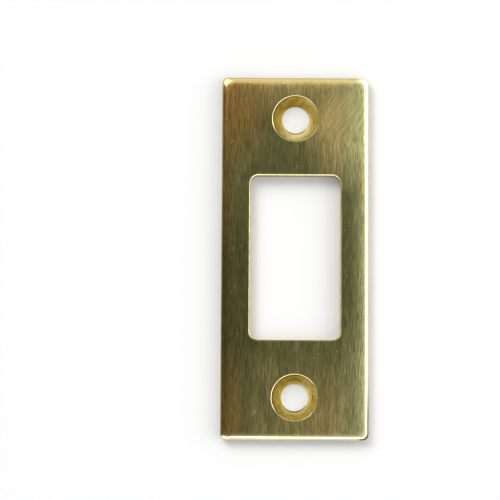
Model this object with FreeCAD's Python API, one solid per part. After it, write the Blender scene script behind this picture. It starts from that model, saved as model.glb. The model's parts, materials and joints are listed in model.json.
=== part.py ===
import FreeCAD
import Part
import math
import os

# Deadbolt strike plate: one flat brass plate with a bolt opening and two countersunk holes.
# The origin is the middle of the back face, +Y runs along the plate and +Z points out of its front.

# Plate outline
PLATE_LENGTH = 70.2
PLATE_WIDTH = 28.5
PLATE_THICKNESS = 2.4
CORNER_RADIUS = 1.1

# Buffed front edge: a rounded fall that starts gently on the face and ends upright at the wall.
# The corners of the flat face are rounder than those of the outline, so the fall spreads there.
EDGE_REACH = 3.2
EDGE_DROP = 0.9
EDGE_FULLNESS = 4.0
FACE_CORNER_RADIUS = 3.0
EDGE_SECTIONS = 12

# Light break along the outline of the back face
BACK_EDGE_ROUND = 0.2

# Opening for the bolt, wall to wall, with its front rim eased
OPENING_LENGTH = 31.8
OPENING_WIDTH = 17.4
OPENING_CORNER_RADIUS = 1.6
OPENING_RIM_ROUND = 0.3

# Countersunk screw holes, on the plate's centre line
SCREW_SPACING = 53.975
SCREW_HOLE_DIAMETER = 5.3
COUNTERSINK_DIAMETER = 9.0
COUNTERSINK_ANGLE = 82.0
COUNTERSINK_RIM_ROUND = 0.2

# How far a cutter stands out past the faces that it cuts
CUTTER_OVERRUN = 1.0

# How near an edge lies to the place where it is looked for
SELECTION_MARGIN = 0.01

Z_AXIS = FreeCAD.Vector(0, 0, 1)
CORNER_SIDES = ((1, 1), (-1, 1), (-1, -1), (1, -1))
QUARTER_TURN = math.pi / 2
FULL_TURN_DEGREES = 360


def rounded_rectangle(width, length, radius, height):
    """A closed outline round the Z axis: four straight sides joined by quarter circles."""
    corners = []
    for turn, (side_x, side_y) in enumerate(CORNER_SIDES):
        centre = FreeCAD.Vector(side_x * (width / 2 - radius), side_y * (length / 2 - radius), height)
        angles = [(turn + part) * QUARTER_TURN for part in (0, 0.5, 1)]
        corners.append([centre + FreeCAD.Vector(math.cos(a), math.sin(a), 0) * radius for a in angles])
    edges = []
    for corner, following in zip(corners, corners[1:] + corners[:1]):
        edges.append(Part.Arc(*corner).toShape())
        edges.append(Part.LineSegment(corner[-1], following[0]).toShape())
    return Part.Wire(edges)


def prism(outline, height):
    """The outline filled and raised by a height."""
    return Part.Face(outline).extrude(Z_AXIS * height)


def flat_edges(shape, height, half_width, half_length):
    """The edges at one height that lie inside a rectangle round the Z axis."""
    found = []
    for edge in shape.Edges:
        box = edge.BoundBox
        level = max(abs(box.ZMin - height), abs(box.ZMax - height)) < SELECTION_MARGIN
        across = max(-box.XMin, box.XMax) < half_width + SELECTION_MARGIN
        along = max(-box.YMin, box.YMax) < half_length + SELECTION_MARGIN
        if level and across and along:
            found.append(edge)
    return found


def buffed_edge_sections(base_height):
    """Outlines up the front edge, a quarter superellipse from the wall to the flat face."""
    sections = []
    for step in range(EDGE_SECTIONS):
        share = (step / (EDGE_SECTIONS - 1)) ** 2
        inset = EDGE_REACH * share
        width = PLATE_WIDTH - 2 * inset
        length = PLATE_LENGTH - 2 * inset
        radius = CORNER_RADIUS + (FACE_CORNER_RADIUS - CORNER_RADIUS) * share
        height = base_height + EDGE_DROP * math.sqrt(1 - (1 - share) ** EDGE_FULLNESS)
        sections.append(rounded_rectangle(width, length, radius, height))
    return sections


def blank():
    """The plate before it is pierced: a prism with its back edge broken, and the buffed edge on top."""
    wall_height = PLATE_THICKNESS - EDGE_DROP
    body = prism(rounded_rectangle(PLATE_WIDTH, PLATE_LENGTH, CORNER_RADIUS, 0), wall_height)
    body = body.makeFillet(BACK_EDGE_ROUND, flat_edges(body, 0, PLATE_WIDTH / 2, PLATE_LENGTH / 2))
    crown = Part.makeLoft(buffed_edge_sections(wall_height), True, False)
    return body.fuse(crown).removeSplitter()


def bolt_opening_cutter():
    """The through cut that the bolt enters."""
    outline = rounded_rectangle(OPENING_WIDTH, OPENING_LENGTH, OPENING_CORNER_RADIUS, -CUTTER_OVERRUN)
    return prism(outline, PLATE_THICKNESS + 2 * CUTTER_OVERRUN)


def screw_hole_cutter(centre_y):
    """A turned cutter: clearance hole, countersink cone, and a rim that flares into the face."""
    half_angle = math.radians(COUNTERSINK_ANGLE / 2)
    hole_radius = SCREW_HOLE_DIAMETER / 2
    mouth_radius = COUNTERSINK_DIAMETER / 2
    cone_foot = PLATE_THICKNESS - (mouth_radius - hole_radius) / math.tan(half_angle)
    foot = -CUTTER_OVERRUN
    top = PLATE_THICKNESS + CUTTER_OVERRUN
    rim_radius = mouth_radius + COUNTERSINK_RIM_ROUND * (1 - math.sin(half_angle)) / math.cos(half_angle)
    rim_centre = FreeCAD.Vector(rim_radius, 0, PLATE_THICKNESS - COUNTERSINK_RIM_ROUND)
    towards_cone = FreeCAD.Vector(-math.cos(half_angle), 0, math.sin(half_angle))
    rim_start = rim_centre + towards_cone * COUNTERSINK_RIM_ROUND
    rim_middle = rim_centre + (towards_cone + Z_AXIS).normalize() * COUNTERSINK_RIM_ROUND
    rim_end = rim_centre + Z_AXIS * COUNTERSINK_RIM_ROUND
    below_rim = [FreeCAD.Vector(0, 0, foot), FreeCAD.Vector(hole_radius, 0, foot),
                 FreeCAD.Vector(hole_radius, 0, cone_foot), rim_start]
    above_rim = [rim_end, FreeCAD.Vector(rim_radius, 0, top), FreeCAD.Vector(0, 0, top), below_rim[0]]
    edges = [Part.LineSegment(*pair).toShape() for pair in zip(below_rim, below_rim[1:])]
    edges.append(Part.Arc(rim_start, rim_middle, rim_end).toShape())
    edges += [Part.LineSegment(*pair).toShape() for pair in zip(above_rim, above_rim[1:])]
    cutter = Part.Face(Part.Wire(edges)).revolve(FreeCAD.Vector(), Z_AXIS, FULL_TURN_DEGREES)
    cutter.translate(FreeCAD.Vector(0, centre_y, 0))
    return cutter


def eased_opening_rim(plate):
    """Rounds the opening's edge on the front face."""
    rim = flat_edges(plate, PLATE_THICKNESS, OPENING_WIDTH / 2, OPENING_LENGTH / 2)
    return plate.makeFillet(OPENING_RIM_ROUND, rim)


def strike_plate():
    """The finished plate: the blank pierced for the bolt, its rim eased, then drilled and countersunk."""
    plate = eased_opening_rim(blank().cut(bolt_opening_cutter()))
    for centre_y in (-SCREW_SPACING / 2, SCREW_SPACING / 2):
        plate = plate.cut(screw_hole_cutter(centre_y))
    return plate


os.makedirs("parts", exist_ok=True)
finished = strike_plate()
finished.exportStep("parts/strike_plate.step")
print("strike_plate", "valid" if finished.isValid() else "invalid", "solids", len(finished.Solids))
print("volume mm3", round(finished.Volume, 2), "faces", len(finished.Faces))
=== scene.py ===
import json
import math

import bmesh
import bpy
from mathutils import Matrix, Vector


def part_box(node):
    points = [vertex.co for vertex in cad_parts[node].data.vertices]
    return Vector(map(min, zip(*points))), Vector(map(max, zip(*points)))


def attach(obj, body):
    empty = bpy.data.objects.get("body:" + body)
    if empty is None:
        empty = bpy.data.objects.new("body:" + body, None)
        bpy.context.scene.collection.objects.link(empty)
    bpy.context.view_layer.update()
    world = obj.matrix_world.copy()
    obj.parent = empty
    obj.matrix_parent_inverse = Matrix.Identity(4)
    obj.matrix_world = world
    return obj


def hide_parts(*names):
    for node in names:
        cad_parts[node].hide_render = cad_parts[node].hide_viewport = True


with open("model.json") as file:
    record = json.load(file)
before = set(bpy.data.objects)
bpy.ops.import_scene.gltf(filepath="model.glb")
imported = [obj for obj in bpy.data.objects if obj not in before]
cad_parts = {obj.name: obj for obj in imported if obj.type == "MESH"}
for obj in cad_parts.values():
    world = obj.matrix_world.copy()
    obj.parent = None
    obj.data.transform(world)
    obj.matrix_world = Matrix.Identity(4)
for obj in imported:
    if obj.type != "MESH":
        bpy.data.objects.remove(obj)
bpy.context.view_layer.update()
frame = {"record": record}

# Plate blank
# A flat bar of solid brass, cut to length, with its corners rounded and its front edge buffed.
# The buffing rolls the edge over: it starts gently on the face and ends upright at the wall.
MM = 0.001
plate_low, plate_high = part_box("strike_plate")
PLATE_WIDTH = plate_high[0] - plate_low[0]
PLATE_LENGTH = plate_high[1] - plate_low[1]
PLATE_THICKNESS = plate_high[2] - plate_low[2]
CORNER_RADIUS = 1.1 * MM
EDGE_REACH = 3.2 * MM
EDGE_DROP = 0.9 * MM
EDGE_FULLNESS = 4.0
EDGE_STEPS = 26
FACE_CORNER_RADIUS = 3.0 * MM
BACK_EDGE_ROUND = 0.2 * MM
BACK_EDGE_STEPS = 5
WALL_STEPS = 4
OUTLINE_CORNER_STEPS = 12
OUTLINE_SIDE_STEPS = 56


def rolled_edge(reach, drop, fullness, steps):
    """(inset, height) points of a quarter superellipse, from the top of the wall to the flat face."""
    points = []
    for step in range(steps + 1):
        share = (step / steps) ** 2
        rise = math.sqrt(1 - (1 - share) ** fullness)
        points.append((reach * share, PLATE_THICKNESS - drop + drop * rise))
    return points


def quarter_round(radius, steps):
    """(inset, height) points of the rounded back edge, from the back face to the wall."""
    angles = [step / steps * math.pi / 2 for step in range(steps + 1)]
    return [(radius * (1 - math.sin(a)), radius * (1 - math.cos(a))) for a in angles]


def straight_run(start, end, steps):
    """Points strictly between two (inset, height) points."""
    shares = [step / steps for step in range(1, steps)]
    return [(start[0] + (end[0] - start[0]) * s, start[1] + (end[1] - start[1]) * s) for s in shares]


def profile_line(name, points):
    """A polyline of (inset, height) points, for the plate's tree to sweep round an outline."""
    mesh = bpy.data.meshes.new(name)
    edges = [(i, i + 1) for i in range(len(points) - 1)]
    mesh.from_pydata([(inset, 0, height) for inset, height in points], edges, [])
    line = bpy.data.objects.new(name, mesh)
    bpy.context.scene.collection.objects.link(line)
    return line


back_edge = quarter_round(BACK_EDGE_ROUND, BACK_EDGE_STEPS)
buffed_edge = rolled_edge(EDGE_REACH, EDGE_DROP, EDGE_FULLNESS, EDGE_STEPS)
outline_wall = straight_run(back_edge[-1], buffed_edge[0], WALL_STEPS)
outline_profile = profile_line("outline_profile", back_edge + outline_wall + buffed_edge)

# Bolt opening
# A rectangular hole with rounded corners, pierced through the plate for the bolt of the lock.
# Its front rim was eased by a file, so that the bolt doesn't catch on it.
OPENING_LENGTH = 31.8 * MM
OPENING_WIDTH = 17.4 * MM
OPENING_CORNER_RADIUS = 1.6 * MM
OPENING_RIM_ROUND = 0.3 * MM
OPENING_RIM_STEPS = 10
OPENING_CORNER_STEPS = 12
OPENING_SIDE_STEPS = 44


def eased_rim():
    """(inset, height) points from the top of the opening's wall over its rounded edge to the face."""
    edge_foot = PLATE_THICKNESS - OPENING_RIM_ROUND
    points = []
    for step in range(OPENING_RIM_STEPS + 1):
        turn = step / OPENING_RIM_STEPS * math.pi / 2
        outset = OPENING_RIM_ROUND * (1 - math.cos(turn))
        points.append((-outset, edge_foot + OPENING_RIM_ROUND * math.sin(turn)))
    return points


opening_edge = eased_rim()
opening_foot = (0, 0)
opening_wall = straight_run(opening_foot, opening_edge[0], WALL_STEPS)
opening_profile = profile_line("opening_profile", [opening_foot] + opening_wall + opening_edge)

# Screw holes
# Two drilled holes, countersunk at 82 degrees so that what holds the plate lies flush with its face.
# The countersinking bit left rings and a few nicks in the cones, and the brushing eased their rims.
mounts = {mount["name"]: mount["dims"] for mount in frame["record"]["mounts"]}
SCREW_SPACING = mounts["screw_pattern"]["spacing_y_mm"] * MM
SCREW_HOLE_RADIUS = mounts["upper_screw_hole"]["r_mm"] * MM
COUNTERSINK_RADIUS = 4.5 * MM
COUNTERSINK_HALF_ANGLE = math.radians(41)
COUNTERSINK_RIM_ROUND = 0.2 * MM
COUNTERSINK_RIM_STEPS = 6
CONE_STEPS = 28
HOLE_WALL_STEPS = 3
HOLE_QUARTER_STEPS = 44
NICK_REACH = 0.40 * MM
NICK_DEPTH = 0.05 * MM
NICK_MAP = "nicks"
UPPER_NICKS = ((3.25, -2.65), (3.7, -2.0), (3.5, -0.5))
LOWER_NICKS = ((-1.75, -3.75), (-2.15, -3.4), (-2.55, -2.95), (-0.65, -4.1),
               (3.18, -2.55), (2.6, -3.3), (3.35, -0.45), (3.4, 0.2))


def countersink_profile():
    """(inset, height) points up the drilled wall, up the cone and over the rounded rim to the face."""
    half_angle = COUNTERSINK_HALF_ANGLE
    cone_depth = (COUNTERSINK_RADIUS - SCREW_HOLE_RADIUS) / math.tan(half_angle)
    flare = COUNTERSINK_RIM_ROUND * (1 - math.sin(half_angle)) / math.cos(half_angle)
    rim_centre = (SCREW_HOLE_RADIUS - COUNTERSINK_RADIUS - flare, PLATE_THICKNESS - COUNTERSINK_RIM_ROUND)
    rim = []
    for step in range(COUNTERSINK_RIM_STEPS + 1):
        tilt = half_angle + (math.pi / 2 - half_angle) * step / COUNTERSINK_RIM_STEPS
        rim.append((rim_centre[0] + COUNTERSINK_RIM_ROUND * math.cos(tilt),
                    rim_centre[1] + COUNTERSINK_RIM_ROUND * math.sin(tilt)))
    hole_foot = (0, 0)
    cone_foot = (0, PLATE_THICKNESS - cone_depth)
    hole_wall = [hole_foot] + straight_run(hole_foot, cone_foot, HOLE_WALL_STEPS)
    cone = [cone_foot] + straight_run(cone_foot, rim[0], CONE_STEPS)
    return hole_wall + cone + rim


def nick_places():
    """Where the nicks lie, on the cones of both holes."""
    places = []
    for nicks, side in ((UPPER_NICKS, 1), (LOWER_NICKS, -1)):
        for x, y in nicks:
            depth = (COUNTERSINK_RADIUS - math.hypot(x, y) * MM) / math.tan(COUNTERSINK_HALF_ANGLE)
            places.append((x * MM, side * SCREW_SPACING / 2 + y * MM, PLATE_THICKNESS - depth))
    return places


hole_profile = profile_line("hole_profile", countersink_profile())
nick_mesh = bpy.data.meshes.new("nick_points")
nick_mesh.from_pydata(nick_places(), [], [])
nick_points = bpy.data.objects.new("nick_points", nick_mesh)
bpy.context.scene.collection.objects.link(nick_points)

# Grain and tarnish
# The brass was brushed along its length with an abrasive belt, which left fine parallel lines.
# It has no lacquer, so handling and air have given it olive and brown clouds over the bare metal.
GRAIN_MAP = "grain"
STREAK_DETAIL = 2.0
STREAK_BREAKUP = 0.6
HAIRLINE_FINENESS = (2.7, 2.8, 2.7)
HAIRLINE_DETAIL = 2.0
CLOUD_DETAIL = 3.0
CLOUD_BREAKUP = 0.55
CLOUD_RANGE = (0.38, 0.68)
SPECK_SIZE = 0.048
SPECK_CORE = 0.026
SCRATCH_WIDTH = 0.22 * MM
SCRATCH_LENGTH = 2.6 * MM
SCRATCH_DETAIL = 0.0
SCRATCH_BREAKUP = 0.0
SCRATCH_RANGE = (0.85, 0.89)


def put(tree, kind, **settings):
    """A new node with its own settings made."""
    made = tree.nodes.new(kind)
    for name, value in settings.items():
        setattr(made, name, value)
    return made


def feed(tree, socket, value):
    """Gives an input a fixed value, or joins it to another node's output."""
    if isinstance(value, bpy.types.NodeSocket):
        tree.links.new(value, socket)
    else:
        socket.default_value = value


def calc(tree, operation, *values):
    """The result of a Math node on sockets or numbers."""
    made = put(tree, "ShaderNodeMath", operation=operation)
    for socket, value in zip(made.inputs, values):
        feed(tree, socket, value)
    return made.outputs[0]


def vector_calc(tree, operation, *values):
    """The vector result of a Vector Math node on sockets or vectors."""
    made = put(tree, "ShaderNodeVectorMath", operation=operation)
    sockets = [socket for socket in made.inputs if socket.enabled]
    for socket, value in zip(sockets, values):
        feed(tree, socket, value)
    return made.outputs[0]


def ramp(tree, value, start, end, low=0.0, high=1.0):
    """A value taken smoothly from one range to another and held at its ends."""
    made = put(tree, "ShaderNodeMapRange", interpolation_type="SMOOTHSTEP")
    settings = {"Value": value, "From Min": start, "From Max": end, "To Min": low, "To Max": high}
    for name, given in settings.items():
        feed(tree, made.inputs[name], given)
    return made.outputs["Result"]


def blend(tree, share, first, second):
    """A mix of two colours."""
    made = put(tree, "ShaderNodeMix", data_type="RGBA")
    sockets = {socket.identifier: socket for socket in made.inputs}
    for name, value in (("Factor_Float", share), ("A_Color", first), ("B_Color", second)):
        feed(tree, sockets[name], value)
    return next(socket for socket in made.outputs if socket.type == "RGBA")


def open_group(name, kind, inputs, outputs):
    """A new node group with named sockets, with its input sockets and output sockets by name."""
    tree = bpy.data.node_groups.new(name, kind)
    for direction, sockets in (("INPUT", inputs), ("OUTPUT", outputs)):
        for socket_name, socket_kind in sockets.items():
            tree.interface.new_socket(socket_name, in_out=direction, socket_type="NodeSocket" + socket_kind)
    return tree, put(tree, "NodeGroupInput").outputs, put(tree, "NodeGroupOutput").inputs


def noise(tree, vector, detail, roughness):
    """A noise texture's value from 0 to 1, about one blob to each unit of the vector."""
    made = put(tree, "ShaderNodeTexNoise")
    for name, given in (("Vector", vector), ("Scale", 1.0), ("Detail", detail), ("Roughness", roughness)):
        feed(tree, made.inputs[name], given)
    return made.outputs[0]


def stretched(tree, vector, across, along):
    """The vector with X and Z counted in one unit and Y, along the grain, in another."""
    unit = put(tree, "ShaderNodeCombineXYZ")
    for socket, value in zip(unit.inputs, (across, along, across)):
        feed(tree, socket, value)
    return vector_calc(tree, "DIVIDE", vector, unit.outputs[0])


def brushed_grain_group():
    """Fine parallel lines along Y: broad streaks and the hairlines between them, each from 0 to 1."""
    tree, given, result = open_group("Brushed Grain", "ShaderNodeTree",
                                     {"Vector": "Vector", "Line Width": "Float", "Line Length": "Float"},
                                     {"Streaks": "Float", "Hairlines": "Float"})
    broad = stretched(tree, given["Vector"], given["Line Width"], given["Line Length"])
    feed(tree, result["Streaks"], noise(tree, broad, STREAK_DETAIL, STREAK_BREAKUP))
    fine = vector_calc(tree, "MULTIPLY", broad, HAIRLINE_FINENESS)
    feed(tree, result["Hairlines"], noise(tree, fine, HAIRLINE_DETAIL, STREAK_BREAKUP))
    return tree


def tarnish_group():
    """Soft clouds of tarnish drawn out along Y, from 0 on clean metal to 1."""
    tree, given, result = open_group("Tarnish Clouds", "ShaderNodeTree",
                                     {"Vector": "Vector", "Cloud Width": "Float", "Cloud Length": "Float"},
                                     {"Clouds": "Float"})
    drawn_out = stretched(tree, given["Vector"], given["Cloud Width"], given["Cloud Length"])
    clouds = noise(tree, drawn_out, CLOUD_DETAIL, CLOUD_BREAKUP)
    feed(tree, result["Clouds"], ramp(tree, clouds, *CLOUD_RANGE))
    return tree


def handling_marks_group():
    """Small bright specks where grit hit the metal, and thin scratches across the brushing."""
    inputs = {"Vector": "Vector", "Speck Spacing": "Float", "Scratch Turn": "Float"}
    outputs = {"Specks": "Float", "Scratches": "Float"}
    tree, given, result = open_group("Handling Marks", "ShaderNodeTree", inputs, outputs)
    cells = put(tree, "ShaderNodeTexVoronoi")
    feed(tree, cells.inputs["Vector"],
         stretched(tree, given["Vector"], given["Speck Spacing"], given["Speck Spacing"]))
    feed(tree, cells.inputs["Scale"], 1.0)
    feed(tree, result["Specks"], ramp(tree, cells.outputs["Distance"], SPECK_SIZE, SPECK_CORE))
    turned = put(tree, "ShaderNodeVectorRotate", rotation_type="Z_AXIS")
    feed(tree, turned.inputs["Vector"], given["Vector"])
    feed(tree, turned.inputs["Angle"], given["Scratch Turn"])
    drawn_out = stretched(tree, turned.outputs[0], SCRATCH_WIDTH, SCRATCH_LENGTH)
    lines = noise(tree, drawn_out, SCRATCH_DETAIL, SCRATCH_BREAKUP)
    feed(tree, result["Scratches"], ramp(tree, lines, *SCRATCH_RANGE))
    return tree


def place_group(tree, kind, group, values):
    """The outputs of a node that runs a node group, with its inputs given by name."""
    made = put(tree, kind, node_tree=group)
    for name, value in values.items():
        feed(tree, made.inputs[name], value)
    return made.outputs


def brass_material(name, anisotropy):
    """A bare metal material: itself, its tree, its shader and where a point lies on the plate."""
    material = bpy.data.materials.new(name)
    material.use_nodes = True
    tree = material.node_tree
    shader = tree.nodes["Principled BSDF"]
    shader.inputs["Metallic"].default_value = 1.0
    shader.inputs["Anisotropic"].default_value = anisotropy
    tangent = put(tree, "ShaderNodeTangent", direction_type="UV_MAP", uv_map=GRAIN_MAP)
    feed(tree, shader.inputs["Tangent"], tangent.outputs["Tangent"])
    return material, tree, shader, put(tree, "ShaderNodeTexCoord").outputs["Object"]


def raise_grain(tree, shader, height, depth):
    """Bumps the surface by a height from 0 to 1, which stands for a depth in metres."""
    bump = put(tree, "ShaderNodeBump")
    feed(tree, bump.inputs["Height"], height)
    feed(tree, bump.inputs["Distance"], depth)
    feed(tree, shader.inputs["Normal"], bump.outputs["Normal"])


brushed_grain = brushed_grain_group()
tarnish_clouds = tarnish_group()
handling_marks = handling_marks_group()

# Front finish
# Brushed satin on the flat, buffed bright on the rolled edges. As painted shade, the left edge keeps the
# face's darker colour and the top edge is a darker gold, and the lower right edge has a dark line painted
# low on it as a painted reflection.
# Olive tarnish lies over most of the face. The brown down its left side is part tarnish, part painted shade.
# Handling has rubbed the tarnish off beside the upper hole and, less so, at the foot. The paler right edge
# and top end are painted light.
FRONT_ANISOTROPY = 0.7
SATIN_ROUGHNESS = 0.25
SATIN_VARIATION = 0.08
EDGE_ROUGHNESS = 0.15
STREAK_WIDTH = 0.16 * MM
STREAK_LENGTH = 6.0 * MM
GRAIN_DEPTH = 0.0015 * MM
GRAIN_TINT = 3.7
GRAIN_FLOOR = 0.2
HAIRLINE_SHARE = 0.85
SCRATCH_SHARE = -1.5
SCRATCH_SHINE = 0.6
EDGE_POLISH_START = 0.04 * MM
EDGE_POLISH_END = 0.30 * MM
LEFT_EDGE_SHADE_SIDE = (-11.6 * MM, -12.6 * MM)
POLISHED_TOP = (33.0 * MM, 34.0 * MM)
POLISHED_FOOT = (-34.0 * MM, -34.6 * MM)
OPENING_POLISH = (0.02 * MM, -0.06 * MM)
FOOT_RIM_SHADE = (-16.0 * MM, -14.5 * MM)
FILED_BRASS = (0.80, 0.71, 0.36, 1)
# A darker filed colour for the rim's left side: painted shade.
FILED_SHADED = (0.51, 0.455, 0.23, 1)
FILED_SHADE_SIDE = (-8.4 * MM, -8.6 * MM)
EDGE_BRASS = (0.84, 0.78, 0.46, 1)
# A darker gold for the top edge: painted shade.
TOP_EDGE_SHADED_BRASS = (0.64, 0.51, 0.23, 1)
TOP_EDGE_END = (12.6 * MM, 11.4 * MM)
DARK_REFLECTION_FALL = (0.30 * MM, 0.44 * MM)
DARK_REFLECTION_FOOT = (-21.0 * MM, -32.0 * MM)
DARK_REFLECTION_SIDE = (12.0 * MM, 13.0 * MM)
# Colour of a painted dark reflection on the steep outer part of the lower right edge.
PAINTED_DARK_REFLECTION = (0.11, 0.10, 0.05, 1)
CLEAN_BRASS = (0.72, 0.525, 0.20, 1)
GREEN_BRASS = (0.70, 0.655, 0.29, 1)
GREEN_TURN = (6.0 * MM, 12.5 * MM)
PALE_BRASS = (0.62, 0.60, 0.27, 1)
OLIVE_BRASS = (0.155, 0.15, 0.054, 1)
DARK_OLIVE = (0.085, 0.078, 0.026, 1)
BROWN_BRASS = (0.31, 0.175, 0.043, 1)
SPECK_BRASS = (0.95, 0.80, 0.44, 1)
HAND_CENTRE = (11.0 * MM, 26.0 * MM)
HAND_REACH = (10.0 * MM, 13.0 * MM)
HAND_FADE = (1.25, 0.25)
HAND_RUBBED = 0.70
FOOT_CENTRE = (9.0 * MM, -33.0 * MM)
FOOT_REACH = (18.0 * MM, 16.0 * MM)
FOOT_FADE = (1.5, 0.0)
FOOT_RUBBED = 0.36
TOP_BAND = (26.0 * MM, 35.0 * MM)
# How far the top end is painted paler: painted light.
TOP_PAINTED_LIGHT = 0.52
RIGHT_BAND = (10.3 * MM, 13.2 * MM)
RIGHT_PAINTED_LIGHT = 0.50
RUBBED_CLOUDING = 0.16
DARK_CENTRE = (-12.0 * MM, -7.0 * MM)
DARK_REACH = (9.0 * MM, 20.0 * MM)
DARK_FADE = (1.15, 0.35)
DARK_AMOUNT = 0.62
BROWN_CENTRE = (-14.5 * MM, 31.0 * MM)
BROWN_REACH = (11.0 * MM, 15.0 * MM)
BROWN_FADE = (1.15, 0.25)
BROWN_AMOUNT = 0.85
STAIN_AND_SHADE_CENTRE = (-14.5 * MM, -33.0 * MM)
STAIN_AND_SHADE_REACH = (6.5 * MM, 19.0 * MM)
STAIN_AND_SHADE_AMOUNT = 0.62
LEFT_BAND = (-11.2 * MM, -13.4 * MM)
LEFT_BROWN = 0.55
BROWN_STREAKING = 2.0
FRONT_CLOUD_WIDTH = 1.6 * MM
FRONT_CLOUD_LENGTH = 7.0 * MM
FRONT_SPECK_SPACING = 1.7 * MM
FRONT_SCRATCH_TURN = math.radians(28)
SWIRL_CENTRE = (9.0 * MM, 28.0 * MM)
SWIRL_REACH = (7.0 * MM, 6.5 * MM)
SWIRL_FADE = (1.0, 0.4)
SWIRL_TURN = math.radians(35)
SWIRL_WIDTH = 0.14 * MM
SWIRL_LENGTH = 4.5 * MM
SWIRL_TINT = 1.6
SWIRL_OVER_GRAIN = 0.6
SWING_MIDDLE = 0.5


def lerp(tree, share, first, second):
    """A value between two others."""
    return calc(tree, "MULTIPLY_ADD", share, calc(tree, "SUBTRACT", second, first), first)


def length(tree, vector):
    """The length of a vector."""
    made = put(tree, "ShaderNodeVectorMath", operation="LENGTH")
    feed(tree, made.inputs[0], vector)
    return made.outputs["Value"]


def from_patch(tree, where, centre, reach):
    """How far a point lies from a patch's middle, where 1 is the patch's reach."""
    offset = vector_calc(tree, "SUBTRACT", where, (*centre, PLATE_THICKNESS))
    return length(tree, vector_calc(tree, "DIVIDE", offset, (*reach, 1.0)))


def swing(tree, value, amount):
    """A value from 0 to 1 turned into one that swings about 0."""
    return calc(tree, "MULTIPLY", calc(tree, "SUBTRACT", value, SWING_MIDDLE), amount)


front, tree, shader, where = brass_material("brushed_brass_front", FRONT_ANISOTROPY)
place = put(tree, "ShaderNodeSeparateXYZ")
feed(tree, place.inputs[0], where)
across, along, height = place.outputs
grain = place_group(tree, "ShaderNodeGroup", brushed_grain,
                    {"Vector": where, "Line Width": STREAK_WIDTH, "Line Length": STREAK_LENGTH})
clouds = place_group(tree, "ShaderNodeGroup", tarnish_clouds,
                     {"Vector": where, "Cloud Width": FRONT_CLOUD_WIDTH,
                      "Cloud Length": FRONT_CLOUD_LENGTH})
marks = place_group(tree, "ShaderNodeGroup", handling_marks,
                    {"Vector": where, "Speck Spacing": FRONT_SPECK_SPACING,
                     "Scratch Turn": FRONT_SCRATCH_TURN})
turned = put(tree, "ShaderNodeVectorRotate", rotation_type="Z_AXIS")
feed(tree, turned.inputs["Vector"], where)
feed(tree, turned.inputs["Angle"], SWIRL_TURN)
swirl = place_group(tree, "ShaderNodeGroup", brushed_grain,
                    {"Vector": turned.outputs[0], "Line Width": SWIRL_WIDTH, "Line Length": SWIRL_LENGTH})
edge = ramp(tree, height, PLATE_THICKNESS - EDGE_POLISH_START, PLATE_THICKNESS - EDGE_POLISH_END)
top = ramp(tree, along, *POLISHED_TOP)
polished = calc(tree, "MAXIMUM", top, ramp(tree, along, *POLISHED_FOOT))
# The left edge is kept out of the polish and keeps the face's darker colour: painted shade.
polished = calc(tree, "MAXIMUM", polished, ramp(tree, across, *LEFT_EDGE_SHADE_SIDE, 1.0, 0.0))
edge = calc(tree, "MULTIPLY", edge, polished)
hand = ramp(tree, from_patch(tree, where, HAND_CENTRE, HAND_REACH), *HAND_FADE, 0.0, HAND_RUBBED)
foot = ramp(tree, from_patch(tree, where, FOOT_CENTRE, FOOT_REACH), *FOOT_FADE, 0.0, FOOT_RUBBED)
rubbed_and_painted_light = calc(tree, "MAXIMUM", hand, foot)
# Besides the rubbed patches, the top end is made paler with clean brass: painted light.
rubbed_and_painted_light = calc(tree, "MAXIMUM", rubbed_and_painted_light, ramp(tree, along, *TOP_BAND, 0.0, TOP_PAINTED_LIGHT))
rubbed_and_painted_light = calc(tree, "ADD", rubbed_and_painted_light, swing(tree, clouds["Clouds"], RUBBED_CLOUDING))
# The dark olive patch, and the brown patches and band down the left side, are part tarnish and part painted
# shade.
dark = ramp(tree, from_patch(tree, where, DARK_CENTRE, DARK_REACH), *DARK_FADE, 0.0, DARK_AMOUNT)
brown = ramp(tree, from_patch(tree, where, BROWN_CENTRE, BROWN_REACH), *BROWN_FADE, 0.0, BROWN_AMOUNT)
stain_and_shade = ramp(tree, from_patch(tree, where, STAIN_AND_SHADE_CENTRE, STAIN_AND_SHADE_REACH), *BROWN_FADE, 0.0, STAIN_AND_SHADE_AMOUNT)
brown = calc(tree, "MAXIMUM", brown, stain_and_shade)
brown = calc(tree, "MAXIMUM", brown, ramp(tree, across, *LEFT_BAND, 0.0, LEFT_BROWN))
streaked = calc(tree, "MULTIPLY", brown, swing(tree, grain["Streaks"], BROWN_STREAKING))
brown = calc(tree, "ADD", brown, streaked)
# The paler band along the right edge is painted light.
pale = ramp(tree, across, *RIGHT_BAND, 0.0, RIGHT_PAINTED_LIGHT)
bare = blend(tree, ramp(tree, across, *GREEN_TURN), CLEAN_BRASS, GREEN_BRASS)
tinted = blend(tree, rubbed_and_painted_light, OLIVE_BRASS, bare)
tinted = blend(tree, brown, tinted, BROWN_BRASS)
tinted = blend(tree, dark, tinted, DARK_OLIVE)
tinted = blend(tree, pale, tinted, PALE_BRASS)
corner_centre = (OPENING_WIDTH / 2 - OPENING_CORNER_RADIUS, OPENING_LENGTH / 2 - OPENING_CORNER_RADIUS)
one_quarter = vector_calc(tree, "ABSOLUTE", where)
past_centre = vector_calc(tree, "SUBTRACT", one_quarter, (*corner_centre, PLATE_THICKNESS))
from_corner = length(tree, vector_calc(tree, "MAXIMUM", past_centre, (0, 0, 0)))
past_rim = calc(tree, "SUBTRACT", from_corner, OPENING_CORNER_RADIUS + OPENING_RIM_ROUND)
# The filed rim's bright colour stops short of the opening's foot, which keeps the face's darker colour:
# painted shade.
opening_rim = calc(tree, "MULTIPLY", ramp(tree, past_rim, *OPENING_POLISH), ramp(tree, along, *FOOT_RIM_SHADE))
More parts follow.
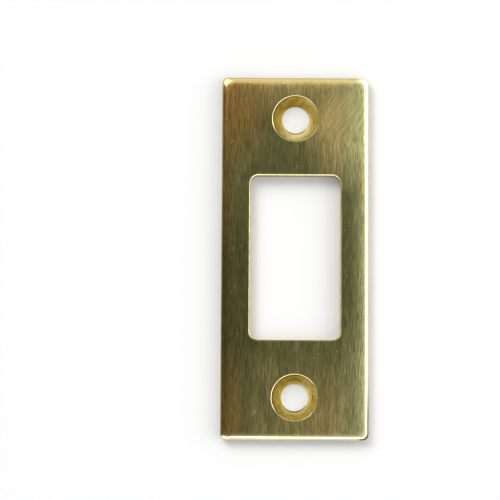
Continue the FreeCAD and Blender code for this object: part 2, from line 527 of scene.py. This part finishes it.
# The left side of the filed rim is darker: painted shade.
filed_and_shaded = blend(tree, ramp(tree, across, *FILED_SHADE_SIDE), FILED_BRASS, FILED_SHADED)
tinted = blend(tree, opening_rim, tinted, filed_and_shaded)
lines = lerp(tree, HAIRLINE_SHARE, grain["Streaks"], grain["Hairlines"])
swirled = ramp(tree, from_patch(tree, where, SWIRL_CENTRE, SWIRL_REACH), *SWIRL_FADE)
straight = calc(tree, "MULTIPLY_ADD", swirled, -SWIRL_OVER_GRAIN, 1.0)
shade = calc(tree, "MULTIPLY_ADD", straight, swing(tree, lines, GRAIN_TINT), 1.0)
shade = calc(tree, "ADD", shade, calc(tree, "MULTIPLY", swirled, swing(tree, swirl["Streaks"], SWIRL_TINT)))
tinted = vector_calc(tree, "SCALE", tinted, calc(tree, "MAXIMUM", shade, GRAIN_FLOOR))
shiny = calc(tree, "MAXIMUM", marks["Specks"], calc(tree, "MULTIPLY", marks["Scratches"], SCRATCH_SHINE))
tinted = blend(tree, shiny, tinted, SPECK_BRASS)
# The top edge gets a darker gold than the other polished edges: painted shade.
golden = calc(tree, "MULTIPLY", top, ramp(tree, across, *TOP_EDGE_END))
polished_tint = blend(tree, golden, EDGE_BRASS, TOP_EDGE_SHADED_BRASS)
# A dark line is painted on the steep outer part of the edge at the lower right: a painted reflection of the
# shaded paper beside it.
fall = calc(tree, "SUBTRACT", PLATE_THICKNESS, height)
dark_reflection = calc(tree, "MULTIPLY", ramp(tree, fall, *DARK_REFLECTION_FALL), ramp(tree, along, *DARK_REFLECTION_FOOT))
dark_reflection = calc(tree, "MULTIPLY", dark_reflection, ramp(tree, across, *DARK_REFLECTION_SIDE))
polished_tint = blend(tree, dark_reflection, polished_tint, PAINTED_DARK_REFLECTION)
feed(tree, shader.inputs["Base Color"], blend(tree, edge, tinted, polished_tint))
satin = calc(tree, "ADD", SATIN_ROUGHNESS, swing(tree, grain["Hairlines"], SATIN_VARIATION))
feed(tree, shader.inputs["Roughness"], lerp(tree, edge, satin, EDGE_ROUGHNESS))
raise_grain(tree, shader, calc(tree, "MULTIPLY_ADD", marks["Scratches"], SCRATCH_SHARE, lines), GRAIN_DEPTH)

# Countersink finish
# The cones are bare turned metal, a deeper gold than the face, with the cutter's rings round them.
# Painted shade darkens a ring just under the rim, the lower lip of the drilled hole and the upper left of
# each cone.
# The rim has a painted highlight on its upper left and painted shade opposite, and the nicks are drawn
# darker.
CONE_ANISOTROPY = 0.3
CONE_ROUGHNESS = 0.20
CONE_VARIATION = 0.12
CONE_BRASS = (0.96, 0.82, 0.36, 1)
# Colour of the cone's upper left side: painted shade.
CONE_SHADED_SIDE = (0.50, 0.36, 0.06, 1)
# Colour of the painted shade under the rim and on the lip, and of the darker nicks.
CONE_DARKENING = (0.13, 0.075, 0.015, 1)
SHADED_SIDE_RANGE = (-0.75, 0.65)
SHADED_SIDE_CLOUDING = 0.5
# The rim's colours: a painted highlight on its upper left and painted shade opposite.
RIM_PAINTED_HIGHLIGHT = (0.95, 0.88, 0.55, 1)
RIM_PAINTED_SHADE = (0.26, 0.23, 0.10, 1)
RIM_SIDE = (-0.30, 0.25)
RIM_HEADING = math.radians(115)
CONE_CLOUD = 0.9 * MM
RING_WIDTH = 0.14 * MM
RING_LENGTH = 5.0 * MM
RING_DEPTH = 0.006 * MM
RING_TINT = 0.8
SHADE_RING_INSIDE = (4.18 * MM, 4.34 * MM)
SHADE_RING_OUTSIDE = (4.50 * MM, 4.38 * MM)
SHADE_RING_SIDE = (-0.35, 0.35)
SHADE_HEADING = math.radians(150)
SHADE_RING_PATCH = (0.55, 1.30)
RIM_START = (4.44 * MM, 4.50 * MM)
LIP_SHIFT = (0.0, -0.45 * MM)
LIP_SHADE = (2.52 * MM, 2.36 * MM)
NICK_DARKENING = (0.15, 0.60)
NICK_BREAKUP = 3.0

cone, tree, shader, where = brass_material("turned_brass_countersink", CONE_ANISOTROPY)
place = put(tree, "ShaderNodeSeparateXYZ")
feed(tree, place.inputs[0], where)
hole_side = calc(tree, "SIGN", place.outputs["Y"])
from_hole = calc(tree, "MULTIPLY_ADD", hole_side, -SCREW_SPACING / 2, place.outputs["Y"])
spread = put(tree, "ShaderNodeCombineXYZ")
feed(tree, spread.inputs["X"], place.outputs["X"])
feed(tree, spread.inputs["Y"], from_hole)
feed(tree, spread.inputs["Z"], PLATE_THICKNESS)
radius = from_patch(tree, spread.outputs[0], (0.0, 0.0), (1.0, 1.0))
turn = calc(tree, "ARCTAN2", from_hole, place.outputs["X"])
polar = put(tree, "ShaderNodeCombineXYZ")
feed(tree, polar.inputs["X"], radius)
feed(tree, polar.inputs["Y"], calc(tree, "MULTIPLY", turn, COUNTERSINK_RADIUS))
feed(tree, polar.inputs["Z"], calc(tree, "MULTIPLY", hole_side, SCREW_SPACING))
rings = place_group(tree, "ShaderNodeGroup", brushed_grain,
                    {"Vector": polar.outputs[0], "Line Width": RING_WIDTH, "Line Length": RING_LENGTH})
clouds = place_group(tree, "ShaderNodeGroup", tarnish_clouds,
                     {"Vector": where, "Cloud Width": CONE_CLOUD, "Cloud Length": CONE_CLOUD})
# A dark ring just under the rim, strongest on the upper left and in cloudy patches: painted shade.
under_rim = ramp(tree, radius, *SHADE_RING_INSIDE)
under_rim = calc(tree, "MULTIPLY", under_rim, ramp(tree, radius, *SHADE_RING_OUTSIDE))
facing = calc(tree, "COSINE", calc(tree, "SUBTRACT", turn, SHADE_HEADING))
ring_shaded = calc(tree, "MAXIMUM", ramp(tree, facing, *SHADE_RING_SIDE), ramp(tree, clouds["Clouds"], *SHADE_RING_PATCH))
under_rim = calc(tree, "MULTIPLY", under_rim, ring_shaded)
# A dark crescent on the lower lip of the drilled hole: painted shade.
lip = ramp(tree, from_patch(tree, spread.outputs[0], LIP_SHIFT, (1.0, 1.0)), *LIP_SHADE)
# The upper left side of each cone is darker, with random clouding: painted shade.
shaded_side = calc(tree, "ADD", ramp(tree, facing, *SHADED_SIDE_RANGE), swing(tree, clouds["Clouds"], SHADED_SIDE_CLOUDING))
tinted = blend(tree, shaded_side, CONE_BRASS, CONE_SHADED_SIDE)
shade = calc(tree, "ADD", 1.0, swing(tree, rings["Hairlines"], RING_TINT))
tinted = vector_calc(tree, "SCALE", tinted, shade)
nicks = put(tree, "ShaderNodeAttribute", attribute_name=NICK_MAP).outputs["Fac"]
nicks = calc(tree, "MULTIPLY", nicks, calc(tree, "ADD", 1.0, swing(tree, rings["Hairlines"], NICK_BREAKUP)))
# The rim is bright on its upper left and dark opposite: a painted highlight and painted shade.
rim_facing = calc(tree, "COSINE", calc(tree, "SUBTRACT", turn, RIM_HEADING))
rim = blend(tree, ramp(tree, rim_facing, *RIM_SIDE), RIM_PAINTED_SHADE, RIM_PAINTED_HIGHLIGHT)
tinted = blend(tree, ramp(tree, radius, *RIM_START), tinted, rim)
# The painted shade under the rim and on the lip, and the darker nicks, all take this colour.
darkening = calc(tree, "MAXIMUM", calc(tree, "MAXIMUM", under_rim, lip), ramp(tree, nicks, *NICK_DARKENING))
tinted = blend(tree, darkening, tinted, CONE_DARKENING)
feed(tree, shader.inputs["Base Color"], tinted)
feed(tree, shader.inputs["Roughness"],
     calc(tree, "ADD", CONE_ROUGHNESS, swing(tree, rings["Streaks"], CONE_VARIATION)))
raise_grain(tree, shader, rings["Streaks"], RING_DEPTH)

# Wall finish
# The upright walls round the plate and in its opening, as the shears and the punch left them.
# They are rough, were never brushed or buffed, and so are duller and darker than the face.
WALL_ANISOTROPY = 0.0
WALL_ROUGHNESS = 0.36
WALL_VARIATION = 0.20
WALL_BRASS = (0.42, 0.325, 0.125, 1)
WALL_DARK = (0.24, 0.18, 0.065, 1)
CUT_WIDTH = 0.22 * MM
CUT_DEPTH = 0.006 * MM
WALL_CLOUD_WIDTH = 2.0 * MM
WALL_CLOUD_LENGTH = 4.0 * MM

wall, tree, shader, where = brass_material("cut_brass_wall", WALL_ANISOTROPY)
cuts = place_group(tree, "ShaderNodeGroup", brushed_grain,
                   {"Vector": where, "Line Width": CUT_WIDTH, "Line Length": CUT_WIDTH})
clouds = place_group(tree, "ShaderNodeGroup", tarnish_clouds,
                     {"Vector": where, "Cloud Width": WALL_CLOUD_WIDTH, "Cloud Length": WALL_CLOUD_LENGTH})
feed(tree, shader.inputs["Base Color"], blend(tree, clouds["Clouds"], WALL_BRASS, WALL_DARK))
feed(tree, shader.inputs["Roughness"],
     calc(tree, "ADD", WALL_ROUGHNESS, swing(tree, cuts["Hairlines"], WALL_VARIATION)))
raise_grain(tree, shader, cuts["Streaks"], CUT_DEPTH)

# Back finish
# The flat face that lies against the door frame, left as it came from the rolling mill.
# Broad rolling lines run along it, and it is dull and patchily tarnished.
BACK_ANISOTROPY = 0.3
BACK_ROUGHNESS = 0.42
BACK_VARIATION = 0.25
BACK_BRASS = (0.60, 0.46, 0.20, 1)
BACK_DARK = (0.34, 0.27, 0.12, 1)
ROLLED_WIDTH = 0.5 * MM
ROLLED_LENGTH = 20.0 * MM
ROLLED_DEPTH = 0.004 * MM
BACK_CLOUD_WIDTH = 6.0 * MM
BACK_CLOUD_LENGTH = 9.0 * MM

back, tree, shader, where = brass_material("rolled_brass_back", BACK_ANISOTROPY)
rolled = place_group(tree, "ShaderNodeGroup", brushed_grain,
                     {"Vector": where, "Line Width": ROLLED_WIDTH, "Line Length": ROLLED_LENGTH})
clouds = place_group(tree, "ShaderNodeGroup", tarnish_clouds,
                     {"Vector": where, "Cloud Width": BACK_CLOUD_WIDTH, "Cloud Length": BACK_CLOUD_LENGTH})
feed(tree, shader.inputs["Base Color"], blend(tree, clouds["Clouds"], BACK_BRASS, BACK_DARK))
feed(tree, shader.inputs["Roughness"],
     calc(tree, "ADD", BACK_ROUGHNESS, swing(tree, rolled["Hairlines"], BACK_VARIATION)))
raise_grain(tree, shader, rolled["Streaks"], ROLLED_DEPTH)

# Finished plate
# The blank, the opening and the two holes are one piece of metal: three swept rims joined by flat faces.
# The tree sweeps each profile round its own outline, sets the hole twice and fills the front and the back.
ZONE_FRONT, ZONE_WALL, ZONE_CONE, ZONE_BACK = range(4)
ZONE_MAP = "zone"
ZONE_MARGIN = 0.5
LEVEL_MAP = "height_share"
LEVEL_MARGIN = 0.0001
RECTANGLE_SIDES = 4
HALF = 0.5
PARALLEL_GROWTH = -1.0
HOLE_COUNT = 2
WELD_DISTANCE = 0.001 * MM
CREASE_ANGLE = math.radians(35)
FLAT_NORMAL = 0.99999


def swept_rim_group():
    """A profile of (inset, height) points carried round a rectangle with round corners."""
    tree, given, result = open_group(
        "Swept Rim", "GeometryNodeTree",
        {"Profile": "Object", "Half Width": "Float", "Half Length": "Float", "Corner Radius": "Float",
         "Corner Growth": "Float", "Corner Steps": "Int", "Side Steps": "Int"},
        {"Rim": "Geometry"})
    profile = put(tree, "GeometryNodeObjectInfo")
    feed(tree, profile.inputs["Object"], given["Profile"])
    profile = profile.outputs["Geometry"]
    count = put(tree, "GeometryNodeAttributeDomainSize")
    feed(tree, count.inputs["Geometry"], profile)
    rows = count.outputs["Point Count"]
    columns = calc(tree, "ADD", given["Corner Steps"], given["Side Steps"])
    grid = put(tree, "GeometryNodeMeshGrid")
    feed(tree, grid.inputs["Vertices X"], calc(tree, "MULTIPLY_ADD", columns, RECTANGLE_SIDES, 1.0))
    feed(tree, grid.inputs["Vertices Y"], rows)
    index = put(tree, "GeometryNodeInputIndex").outputs[0]
    row = calc(tree, "MODULO", index, rows)
    column = calc(tree, "FLOOR", calc(tree, "DIVIDE", index, rows))
    side = calc(tree, "FLOOR", calc(tree, "DIVIDE", column, columns))
    step = calc(tree, "MODULO", column, columns)
    turn = calc(tree, "MINIMUM", calc(tree, "DIVIDE", step, given["Corner Steps"]), 1.0)
    past_corner = calc(tree, "SUBTRACT", step, given["Corner Steps"])
    slide = calc(tree, "MAXIMUM", calc(tree, "DIVIDE", past_corner, given["Side Steps"]), 0.0)
    angle = calc(tree, "MULTIPLY", calc(tree, "ADD", side, turn), math.pi / 2)
    middle = calc(tree, "MULTIPLY", calc(tree, "ADD", side, HALF), math.pi / 2)
    following = calc(tree, "ADD", middle, math.pi / 2)
    point = put(tree, "GeometryNodeSampleIndex", data_type="FLOAT_VECTOR")
    feed(tree, point.inputs["Geometry"], profile)
    feed(tree, point.inputs["Value"], put(tree, "GeometryNodeInputPosition").outputs[0])
    feed(tree, point.inputs["Index"], row)
    place = put(tree, "ShaderNodeSeparateXYZ")
    feed(tree, place.inputs[0], point.outputs["Value"])
    inset = place.outputs["X"]
    radius = calc(tree, "MULTIPLY_ADD", given["Corner Growth"], inset, given["Corner Radius"])
    swept = put(tree, "ShaderNodeCombineXYZ")
    for axis, wave, half in (("X", "COSINE", "Half Width"), ("Y", "SINE", "Half Length")):
        here = calc(tree, "SIGN", calc(tree, wave, middle))
        there = calc(tree, "SIGN", calc(tree, wave, following))
        corner = calc(tree, "MULTIPLY_ADD", calc(tree, "SUBTRACT", there, here), slide, here)
        arm = calc(tree, "SUBTRACT", calc(tree, "SUBTRACT", given[half], inset), radius)
        round_part = calc(tree, "MULTIPLY", calc(tree, wave, angle), radius)
        feed(tree, swept.inputs[axis], calc(tree, "MULTIPLY_ADD", corner, arm, round_part))
    feed(tree, swept.inputs["Z"], place.outputs["Z"])
    marked = put(tree, "GeometryNodeStoreNamedAttribute", data_type="FLOAT", domain="POINT")
    feed(tree, marked.inputs["Geometry"], grid.outputs["Mesh"])
    feed(tree, marked.inputs["Name"], LEVEL_MAP)
    last_row = calc(tree, "SUBTRACT", rows, 1.0)
    feed(tree, marked.inputs["Value"], calc(tree, "DIVIDE", row, last_row))
    bent = put(tree, "GeometryNodeSetPosition")
    feed(tree, bent.inputs["Geometry"], marked.outputs[0])
    feed(tree, bent.inputs["Position"], swept.outputs[0])
    closed = put(tree, "GeometryNodeMergeByDistance")
    feed(tree, closed.inputs["Geometry"], bent.outputs[0])
    feed(tree, closed.inputs["Distance"], WELD_DISTANCE)
    feed(tree, result["Rim"], closed.outputs[0])
    return tree


def rim_loop(tree, rim, share):
    """The closed line along the foot of a rim, at share 0, or along its lip, at share 1."""
    level = put(tree, "GeometryNodeInputNamedAttribute", data_type="FLOAT")
    feed(tree, level.inputs["Name"], LEVEL_MAP)
    chosen = calc(tree, "COMPARE", level.outputs["Attribute"], share, LEVEL_MARGIN)
    line = put(tree, "GeometryNodeMeshToCurve")
    feed(tree, line.inputs["Mesh"], rim)
    feed(tree, line.inputs["Selection"], chosen)
    return line.outputs[0]


def flat_face(tree, rims, share, height):
    """A flat face between the loops of several rims."""
    loops = put(tree, "GeometryNodeJoinGeometry")
    for rim in rims:
        feed(tree, loops.inputs[0], rim_loop(tree, rim, share))
    filled = put(tree, "GeometryNodeFillCurve")
    feed(tree, filled.inputs["Curve"], loops.outputs[0])
    raised = put(tree, "GeometryNodeTransform")
    feed(tree, raised.inputs["Geometry"], filled.outputs[0])
    feed(tree, raised.inputs["Translation"], (0, 0, height))
    shaded = put(tree, "GeometryNodeSetShadeSmooth")
    feed(tree, shaded.inputs["Geometry"], raised.outputs[0])
    feed(tree, shaded.inputs["Shade Smooth"], False)
    return shaded.outputs[0]


def zoned(tree, geometry, zone):
    """The geometry with its faces marked for a finish."""
    marked = put(tree, "GeometryNodeStoreNamedAttribute", data_type="INT", domain="FACE")
    feed(tree, marked.inputs["Geometry"], geometry)
    feed(tree, marked.inputs["Name"], ZONE_MAP)
    feed(tree, marked.inputs["Value"], zone)
    return marked.outputs[0]


def below(tree, height, low_zone, high_zone):
    """One zone for faces under a height and another for those above it."""
    place = put(tree, "ShaderNodeSeparateXYZ")
    feed(tree, place.inputs[0], put(tree, "GeometryNodeInputPosition").outputs[0])
    under = calc(tree, "LESS_THAN", place.outputs["Z"], height)
    return calc(tree, "MULTIPLY_ADD", under, low_zone - high_zone, high_zone)


def nicked(tree, geometry, given):
    """The geometry pressed in round each nick point."""
    points = put(tree, "GeometryNodeObjectInfo")
    feed(tree, points.inputs["Object"], given["Nick Points"])
    nearest = put(tree, "GeometryNodeProximity", target_element="POINTS")
    feed(tree, nearest.inputs[0], points.outputs["Geometry"])
    pressed = put(tree, "ShaderNodeMapRange", interpolation_type="SMOOTHSTEP")
    feed(tree, pressed.inputs["Value"], nearest.outputs["Distance"])
    feed(tree, pressed.inputs["From Min"], given["Nick Reach"])
    feed(tree, pressed.inputs["From Max"], 0.0)
    marked = put(tree, "GeometryNodeStoreNamedAttribute", data_type="FLOAT", domain="POINT")
    feed(tree, marked.inputs["Geometry"], geometry)
    feed(tree, marked.inputs["Name"], NICK_MAP)
    feed(tree, marked.inputs["Value"], pressed.outputs["Result"])
    depth = calc(tree, "MULTIPLY", pressed.outputs["Result"], given["Nick Depth"])
    inward = calc(tree, "MULTIPLY", depth, -1.0)
    moved = put(tree, "GeometryNodeSetPosition")
    feed(tree, moved.inputs["Geometry"], marked.outputs[0])
    feed(tree, moved.inputs["Offset"],
         vector_calc(tree, "SCALE", put(tree, "GeometryNodeInputNormal").outputs[0], inward))
    return moved.outputs[0]


def strike_plate_tree(finishes):
    """The whole plate from its three profiles, with a finish for each zone."""
    inputs = {"Outline Profile": "Object", "Opening Profile": "Object", "Hole Profile": "Object",
              "Nick Points": "Object", "Nick Reach": "Float", "Nick Depth": "Float",
              "Plate Width": "Float", "Plate Length": "Float",
              "Opening Width": "Float", "Opening Length": "Float",
              "Hole Radius": "Float", "Hole Spacing": "Float"}
    tree, given, result = open_group("Strike Plate", "GeometryNodeTree", inputs, {"Plate": "Geometry"})
    swept_rim = swept_rim_group()
    half = {name: calc(tree, "MULTIPLY", given[name], HALF) for name in
            ("Plate Width", "Plate Length", "Opening Width", "Opening Length", "Hole Spacing")}
    outline = place_group(tree, "GeometryNodeGroup", swept_rim, {
        "Profile": given["Outline Profile"], "Half Width": half["Plate Width"],
        "Half Length": half["Plate Length"], "Corner Radius": CORNER_RADIUS,
        "Corner Growth": (FACE_CORNER_RADIUS - CORNER_RADIUS) / EDGE_REACH,
        "Corner Steps": OUTLINE_CORNER_STEPS, "Side Steps": OUTLINE_SIDE_STEPS})[0]
    opening = place_group(tree, "GeometryNodeGroup", swept_rim, {
        "Profile": given["Opening Profile"], "Half Width": half["Opening Width"],
        "Half Length": half["Opening Length"], "Corner Radius": OPENING_CORNER_RADIUS,
        "Corner Growth": PARALLEL_GROWTH,
        "Corner Steps": OPENING_CORNER_STEPS, "Side Steps": OPENING_SIDE_STEPS})[0]
    hole = place_group(tree, "GeometryNodeGroup", swept_rim, {
        "Profile": given["Hole Profile"], "Half Width": given["Hole Radius"],
        "Half Length": given["Hole Radius"], "Corner Radius": given["Hole Radius"],
        "Corner Growth": PARALLEL_GROWTH,
        "Corner Steps": HOLE_QUARTER_STEPS, "Side Steps": 0})[0]
    spots = put(tree, "GeometryNodeMeshLine", mode="OFFSET")
    first = put(tree, "ShaderNodeCombineXYZ")
    feed(tree, first.inputs["Y"], calc(tree, "MULTIPLY", half["Hole Spacing"], -1.0))
    apart = put(tree, "ShaderNodeCombineXYZ")
    feed(tree, apart.inputs["Y"], given["Hole Spacing"])
    feed(tree, spots.inputs["Count"], HOLE_COUNT)
    feed(tree, spots.inputs["Start Location"], first.outputs[0])
    feed(tree, spots.inputs["Offset"], apart.outputs[0])
    both = put(tree, "GeometryNodeInstanceOnPoints")
    feed(tree, both.inputs["Points"], spots.outputs[0])
    feed(tree, both.inputs["Instance"], hole)
    real = put(tree, "GeometryNodeRealizeInstances")
    feed(tree, real.inputs[0], both.outputs[0])
    holes = nicked(tree, real.outputs[0], given)
    rims = (outline, opening, holes)
    whole = put(tree, "GeometryNodeJoinGeometry")
    outline_top = PLATE_THICKNESS - EDGE_DROP
    opening_top = PLATE_THICKNESS - OPENING_RIM_ROUND
    front_face = flat_face(tree, rims, 1.0, PLATE_THICKNESS)
    back_face = flat_face(tree, rims, 0.0, 0.0)
    feed(tree, whole.inputs[0], zoned(tree, outline, below(tree, outline_top, ZONE_WALL, ZONE_FRONT)))
    feed(tree, whole.inputs[0], zoned(tree, opening, below(tree, opening_top, ZONE_WALL, ZONE_FRONT)))
    feed(tree, whole.inputs[0], zoned(tree, holes, ZONE_CONE))
    feed(tree, whole.inputs[0], zoned(tree, front_face, ZONE_FRONT))
    feed(tree, whole.inputs[0], zoned(tree, back_face, ZONE_BACK))
    welded = put(tree, "GeometryNodeMergeByDistance")
    feed(tree, welded.inputs["Geometry"], whole.outputs[0])
    feed(tree, welded.inputs["Distance"], WELD_DISTANCE)
    combed = put(tree, "GeometryNodeStoreNamedAttribute", data_type="FLOAT2", domain="CORNER")
    feed(tree, combed.inputs["Geometry"], welded.outputs[0])
    feed(tree, combed.inputs["Name"], GRAIN_MAP)
    feed(tree, combed.inputs["Value"], put(tree, "GeometryNodeInputPosition").outputs[0])
    finished = put(tree, "GeometryNodeRealizeInstances")
    feed(tree, finished.inputs[0], combed.outputs[0])
    finished = finished.outputs[0]
    zone = put(tree, "GeometryNodeInputNamedAttribute", data_type="INT")
    feed(tree, zone.inputs["Name"], ZONE_MAP)
    for number, material in finishes.items():
        coated = put(tree, "GeometryNodeSetMaterial")
        feed(tree, coated.inputs["Geometry"], finished)
        if number != ZONE_FRONT:
            chosen = calc(tree, "COMPARE", zone.outputs["Attribute"], number, ZONE_MARGIN)
            feed(tree, coated.inputs["Selection"], chosen)
        feed(tree, coated.inputs["Material"], material)
        finished = coated.outputs[0]
    feed(tree, result["Plate"], finished)
    return tree


plate_tree = strike_plate_tree({ZONE_FRONT: front, ZONE_WALL: wall, ZONE_CONE: cone, ZONE_BACK: back})
plate = bpy.data.objects.new("brass_strike_plate", bpy.data.meshes.new("unmade_plate"))
bpy.context.scene.collection.objects.link(plate)
shaping = plate.modifiers.new("Strike Plate", "NODES")
shaping.node_group = plate_tree
sizes = {"Outline Profile": outline_profile, "Opening Profile": opening_profile,
         "Hole Profile": hole_profile, "Nick Points": nick_points,
         "Nick Reach": NICK_REACH, "Nick Depth": NICK_DEPTH,
         "Plate Width": PLATE_WIDTH, "Plate Length": PLATE_LENGTH,
         "Opening Width": OPENING_WIDTH, "Opening Length": OPENING_LENGTH,
         "Hole Radius": SCREW_HOLE_RADIUS, "Hole Spacing": SCREW_SPACING}
for socket in plate_tree.interface.items_tree:
    if socket.in_out == "INPUT":
        shaping[socket.identifier] = sizes[socket.name]
shaped = bpy.data.meshes.new_from_object(plate.evaluated_get(bpy.context.evaluated_depsgraph_get()))
plate.modifiers.clear()
plate.data = shaped
for guide in (outline_profile, opening_profile, hole_profile, nick_points):
    bpy.data.objects.remove(guide)
skin = bmesh.new()
skin.from_mesh(shaped)
bmesh.ops.recalc_face_normals(skin, faces=skin.faces)
skin.to_mesh(shaped)
skin.free()
shaped.materials.pop(index=0)
shaped.set_sharp_from_angle(angle=CREASE_ANGLE)
for facet in shaped.polygons:
    facet.use_smooth = abs(facet.normal.z) < FLAT_NORMAL
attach(plate, "root")
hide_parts("strike_plate")

# Paper floor
# A sheet of matt white paper that the plate lies on, with a faint glow of its own to keep it white.
# It is see-through from below, so that the plate's back can be looked at.
FLOOR_SIZE = 1.2
FLOOR_GAP = 0.01 * MM
PAPER_WHITE = (0.78, 0.78, 0.78, 1)
PAPER_GLOW = 0.04
PAPER_GLOW_WHITE = (1, 1, 1, 1)
PAPER_ROUGHNESS = 1.0
PAPER_SHINE = 0.0

paper = bpy.data.materials.new("white_paper")
paper.use_nodes = True
tree = paper.node_tree
shader = tree.nodes["Principled BSDF"]
shader.inputs["Base Color"].default_value = PAPER_WHITE
shader.inputs["Roughness"].default_value = PAPER_ROUGHNESS
shader.inputs["Specular IOR Level"].default_value = PAPER_SHINE
shader.inputs["Emission Color"].default_value = PAPER_GLOW_WHITE
rays = put(tree, "ShaderNodeLightPath")
seen = calc(tree, "MAXIMUM", rays.outputs["Is Camera Ray"], rays.outputs["Is Glossy Ray"])
seen = calc(tree, "MAXIMUM", seen, rays.outputs["Is Transmission Ray"])
feed(tree, shader.inputs["Emission Strength"], calc(tree, "MULTIPLY", seen, PAPER_GLOW))
underside = put(tree, "ShaderNodeMixShader")
feed(tree, underside.inputs[0], put(tree, "ShaderNodeNewGeometry").outputs["Backfacing"])
feed(tree, underside.inputs[1], shader.outputs[0])
feed(tree, underside.inputs[2], put(tree, "ShaderNodeBsdfTransparent").outputs[0])
feed(tree, tree.nodes["Material Output"].inputs["Surface"], underside.outputs[0])
floor_mesh = bpy.data.meshes.new("paper_floor")
half_floor = FLOOR_SIZE / 2
floor_mesh.from_pydata([(x, y, plate_low[2] - FLOOR_GAP) for x, y in
                        ((-half_floor, -half_floor), (half_floor, -half_floor),
                         (half_floor, half_floor), (-half_floor, half_floor))], [], [(0, 1, 2, 3)])
floor_mesh.materials.append(paper)
floor = bpy.data.objects.new("paper_floor", floor_mesh)
bpy.context.scene.collection.objects.link(floor)

# Studio light
# A soft tent, brighter behind and on the right, dim on the left, that shows white at the horizon.
# Softboxes in an arc from the front to the right, and one behind on the left, draw the bright edges.
# A lamp high behind the plate throws its shadow forward, and the right softbox a fainter one to the left.
OVERHEAD = (0.55, 0.55, 0.55, 1)
LEFT_LIGHT = (0.32, 0.32, 0.32, 1)
RIGHT_LIGHT = (1.0, 1.0, 1.0, 1)
FRONT_LIGHT = (0.8, 0.8, 0.8, 1)
REAR_LIGHT = (1.3, 1.3, 1.3, 1)
BACKDROP_WHITE = (1, 1, 1, 1)
BACKDROP_TOP = (0.16, 0.09)
LEFT_TURN = (0.0, -0.40)
RIGHT_TURN = (0.0, 0.80)
FRONT_TURN = (0.0, -0.80)
REAR_TURN = (0.10, 1.0)
HORIZON_TURN = (0.0, 0.40)
HORIZON_SHARE = 0.45

room = bpy.data.worlds.new("soft_tent")
bpy.context.scene.world = room
room.use_nodes = True
tree = room.node_tree
heading = put(tree, "ShaderNodeSeparateXYZ")
feed(tree, heading.inputs[0], put(tree, "ShaderNodeTexCoord").outputs["Generated"])
glow = blend(tree, ramp(tree, heading.outputs["X"], *LEFT_TURN), OVERHEAD, LEFT_LIGHT)
glow = blend(tree, ramp(tree, heading.outputs["Y"], *REAR_TURN), glow, REAR_LIGHT)
glow = blend(tree, ramp(tree, heading.outputs["X"], *RIGHT_TURN), glow, RIGHT_LIGHT)
glow = blend(tree, ramp(tree, heading.outputs["Y"], *FRONT_TURN), glow, FRONT_LIGHT)
glow = vector_calc(tree, "SCALE", glow, ramp(tree, heading.outputs["Z"], *HORIZON_TURN, HORIZON_SHARE, 1.0))
rays = put(tree, "ShaderNodeLightPath")
seen = calc(tree, "MAXIMUM", rays.outputs["Is Camera Ray"], rays.outputs["Is Glossy Ray"])
seen = calc(tree, "MAXIMUM", seen, rays.outputs["Is Transmission Ray"])
backdrop = calc(tree, "MULTIPLY", seen, ramp(tree, heading.outputs["Z"], *BACKDROP_TOP))
glow = blend(tree, backdrop, glow, BACKDROP_WHITE)
feed(tree, tree.nodes["Background"].inputs["Color"], glow)

SOFTBOX_DISTANCE = 0.60
SOFTBOX_BOUNCES = 0
# For each softbox: its heading, lift, half width and half height in degrees, and its radiance.
SOFTBOXES = {
    "front_softbox": (-100, 33, 33, 10, 2.3),
    "front_right_softbox": (-45, 32, 22, 13, 2.3),
    "right_softbox": (0, 28, 23, 15, 2.3),
    "right_rear_softbox": (42, 35, 22, 19, 2.3),
    "left_rear_softbox": (129, 40, 19, 22, 2.0),
}
SHADOW_SOFTBOX = "right_softbox"
REAR_LAMP_PLACE = (-2.2, 3.0, 3.2)
REAR_LAMP_SIZE = (2.6, 2.6)
REAR_LAMP_RADIANCE = 7.0


def soft_lamp(name, place, size, radiance):
    """A flat lamp that faces the plate and sends out an even radiance."""
    light = bpy.data.lights.new(name, "AREA")
    light.shape = "RECTANGLE"
    light.size, light.size_y = size
    light.energy = radiance * math.pi * size[0] * size[1]
    lamp = bpy.data.objects.new(name, light)
    bpy.context.scene.collection.objects.link(lamp)
    lamp.location = place
    lamp.rotation_euler = lamp.location.to_track_quat("Z", "Y").to_euler()
    lamp.visible_camera = False
    return lamp


for name, (heading_angle, lift_angle, half_width, half_height, radiance) in SOFTBOXES.items():
    heading_angle, lift_angle = math.radians(heading_angle), math.radians(lift_angle)
    level = SOFTBOX_DISTANCE * math.cos(lift_angle)
    rise = SOFTBOX_DISTANCE * math.sin(lift_angle)
    spot = (level * math.cos(heading_angle), level * math.sin(heading_angle), rise)
    size = [2 * SOFTBOX_DISTANCE * math.tan(math.radians(half)) for half in (half_width, half_height)]
    softbox = soft_lamp(name, spot, size, radiance)
    softbox.visible_diffuse = name == SHADOW_SOFTBOX
    softbox.data.cycles.max_bounces = SOFTBOX_BOUNCES
rear_lamp = soft_lamp("rear_lamp", REAR_LAMP_PLACE, REAR_LAMP_SIZE, REAR_LAMP_RADIANCE)
rear_lamp.visible_glossy = False

# Camera
# A long lens that looks down on the plate from about a third of a metre above it.
# It hangs a little left of and below the plate's middle, so the plate sits right of the picture's middle.
CAMERA_PLACE = (-6.51 * MM, -24.2 * MM, 350.0 * MM)
CAMERA_TURN = (0.0735, 0.0059, 0.0061)
CAMERA_LENS = 130.0
SENSOR_WIDTH = 36.0
NEAREST_SEEN = 1.0 * MM

lens = bpy.data.cameras.new("camera")
lens.lens = CAMERA_LENS
lens.sensor_width = SENSOR_WIDTH
lens.clip_start = NEAREST_SEEN
camera = bpy.data.objects.new("camera", lens)
bpy.context.scene.collection.objects.link(camera)
camera.location = CAMERA_PLACE
camera.rotation_euler = CAMERA_TURN
bpy.context.scene.camera = camera
bpy.context.scene.view_settings.view_transform = "Standard"
